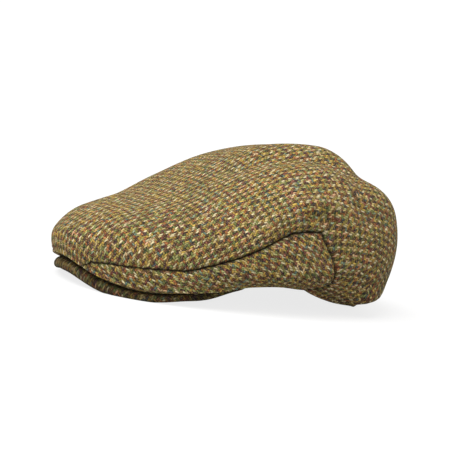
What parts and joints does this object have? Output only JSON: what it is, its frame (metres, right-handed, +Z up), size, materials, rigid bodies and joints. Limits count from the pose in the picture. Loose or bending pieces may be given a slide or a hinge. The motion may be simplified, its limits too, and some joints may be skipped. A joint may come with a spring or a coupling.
{
  "type": "tweed flat cap",
  "caption": "Flat cap in checked tweed: a long soft crown folded over a stiff curved peak, with crescent side panels and an open, hollow head space.",
  "frame": {"origin": "on the surface the cap rests on, under the middle of its outer size", "axes": "+X to the wearer's left, -Y to the front where the peak is, +Z up"},
  "size_m": [0.2097, 0.276, 0.123],
  "materials": {
    "top_tweed": "soft wool tweed in a small check of olive, gold, rust, green and charcoal yarns, grain along the cap",
    "side_tweed": "the same wool tweed, cut with its grain sloping down to the rear",
    "peak_tweed": "the same wool tweed stretched over a stiff peak board"
  },
  "bodies": {
    "root": {"crown_top": "top_tweed", "side_panel_left": "side_tweed", "side_panel_right": "side_tweed", "peak": "peak_tweed"}
  },
  "joints": []
}
